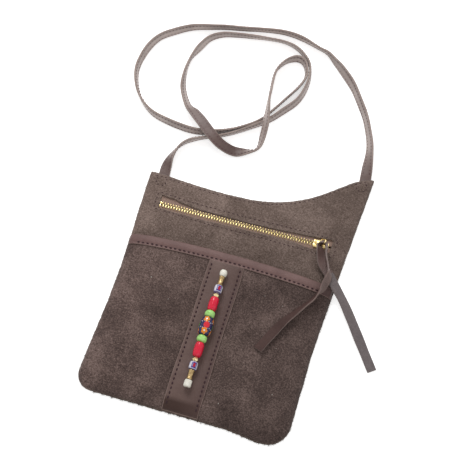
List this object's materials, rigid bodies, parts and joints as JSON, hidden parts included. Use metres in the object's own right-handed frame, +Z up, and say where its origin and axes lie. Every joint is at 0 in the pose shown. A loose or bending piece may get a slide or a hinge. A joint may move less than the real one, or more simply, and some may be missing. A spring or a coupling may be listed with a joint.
{
  "type": "suede crossbody bag",
  "caption": "Flat crossbody pouch in napped suede with a bound slip pocket, a short metal zip, a beaded centre band and a flat shoulder strap.",
  "frame": {"origin": "on the surface that the bag lies on, under the middle of the back panel", "axes": "+Z up out of the bag's front, +Y up the bag towards the strap, +X along the zip towards its closed end"},
  "size_m": [0.2991, 0.4054, 0.025],
  "materials": {
    "body_suede": "napped split leather, taupe brown",
    "pocket_suede": "napped split leather, darker brown",
    "smooth_leather": "smooth reddish brown leather with a soft sheen",
    "strap_leather": "smooth reddish brown leather, folded and edge stitched",
    "thong_leather": "thin lace, smooth on one side and fleshy on the other",
    "zip_tape": "woven taupe tape",
    "zip_brass": "polished gold-tone brass",
    "bead_brass": "aged brass",
    "thread": "waxed cord",
    "ivory_glass": "opaque ivory glass",
    "striped_glass": "opaque glass with blue, white and red stripes",
    "red_glass": "opaque red glass",
    "green_glass": "opaque green glass",
    "patterned_glass": "opaque dark glass with a painted flower pattern"
  },
  "bodies": {
    "bag": {"back_panel": "body_suede", "front_panel": "body_suede", "pocket_panel": "pocket_suede", "pocket_binding": "smooth_leather", "centre_strip": "smooth_leather", "shoulder_strap": "strap_leather", "zip_upper_half": "zip_tape", "zip_lower_half": "zip_tape", "zip_upper_top_stop": "zip_brass", "zip_lower_top_stop": "zip_brass", "zip_bottom_stop": "zip_brass", "bead_cord": "thread"},
    "zip_slider": {"slider": "zip_brass", "pull_thong": "thong_leather"},
    "pull": {"pull_ring": "zip_brass"},
    "bead_white_upper": {"upper_white_bead": "ivory_glass"},
    "bead_tube_upper": {"upper_tube_bead": "bead_brass"},
    "bead_striped_upper": {"upper_striped_bead": "striped_glass"},
    "bead_diamond_upper": {"upper_diamond_bead": "bead_brass"},
    "bead_red_upper": {"upper_red_bead": "red_glass"},
    "bead_green_upper": {"upper_green_bead": "green_glass"},
    "bead_patterned": {"patterned_bead": "patterned_glass"},
    "bead_green_lower": {"lower_green_bead": "green_glass"},
    "bead_red_lower": {"lower_red_bead": "red_glass"},
    "bead_diamond_lower": {"lower_diamond_bead": "bead_brass"},
    "bead_striped_lower": {"lower_striped_bead": "striped_glass"},
    "bead_tube_lower": {"lower_tube_bead": "bead_brass"},
    "bead_white_lower": {"lower_white_bead": "ivory_glass"}
  },
  "joints": [
    {"name": "zip_slide", "type": "slide", "parent": "bag", "child": "zip_slider", "axis": [-0.9999, -0.0122, 0], "range_m": [0, 0.1424], "deforming": ["pull_thong", "zip_upper_half", "zip_lower_half"]},
    {"name": "pull_flip", "type": "hinge", "parent": "zip_slider", "child": "pull", "pos_m": [0.07517, 0.08012, 0.0077], "axis": [-0.0122, 0.9999, 0], "range_deg": [-100, 55], "deforming": ["pull_thong"]},
    {"name": "upper_white_spin", "type": "hinge", "parent": "bag", "child": "bead_white_upper", "pos_m": [0, 0.023, 0.01717], "axis": [0, 0.9999, 0.0132], "continuous": true},
    {"name": "upper_tube_spin", "type": "hinge", "parent": "bag", "child": "bead_tube_upper", "pos_m": [0, 0.01505, 0.01732], "axis": [0, 0.9975, -0.0711], "continuous": true},
    {"name": "upper_striped_spin", "type": "hinge", "parent": "bag", "child": "bead_striped_upper", "pos_m": [0, 0.0068, 0.01788], "axis": [0, 0.9982, -0.0603], "continuous": true},
    {"name": "upper_diamond_spin", "type": "hinge", "parent": "bag", "child": "bead_diamond_upper", "pos_m": [0, 0.00085, 0.01821], "axis": [0, 0.9987, -0.0507], "continuous": true},
    {"name": "upper_red_spin", "type": "hinge", "parent": "bag", "child": "bead_red_upper", "pos_m": [0, -0.0083, 0.0186], "axis": [0, 0.9994, -0.0358], "continuous": true},
    {"name": "upper_green_spin", "type": "hinge", "parent": "bag", "child": "bead_green_upper", "pos_m": [0, -0.01845, 0.01888], "axis": [0, 0.9998, -0.0194], "continuous": true},
    {"name": "patterned_spin", "type": "hinge", "parent": "bag", "child": "bead_patterned", "pos_m": [0, -0.0304, 0.019], "axis": [0, 1, 0], "continuous": true},
    {"name": "lower_green_spin", "type": "hinge", "parent": "bag", "child": "bead_green_lower", "pos_m": [0, -0.04235, 0.01888], "axis": [0, 0.9998, 0.0194], "continuous": true},
    {"name": "lower_red_spin", "type": "hinge", "parent": "bag", "child": "bead_red_lower", "pos_m": [0, -0.0525, 0.0186], "axis": [0, 0.9994, 0.0358], "continuous": true},
    {"name": "lower_diamond_spin", "type": "hinge", "parent": "bag", "child": "bead_diamond_lower", "pos_m": [0, -0.06165, 0.01821], "axis": [0, 0.9987, 0.0507], "continuous": true},
    {"name": "lower_striped_spin", "type": "hinge", "parent": "bag", "child": "bead_striped_lower", "pos_m": [0, -0.0676, 0.01788], "axis": [0, 0.9982, 0.0603], "continuous": true},
    {"name": "lower_tube_spin", "type": "hinge", "parent": "bag", "child": "bead_tube_lower", "pos_m": [0, -0.07585, 0.01732], "axis": [0, 0.9973, 0.0736], "continuous": true},
    {"name": "lower_white_spin", "type": "hinge", "parent": "bag", "child": "bead_white_lower", "pos_m": [0, -0.0838, 0.01661], "axis": [0, 0.9933, 0.1156], "continuous": true}
  ]
}
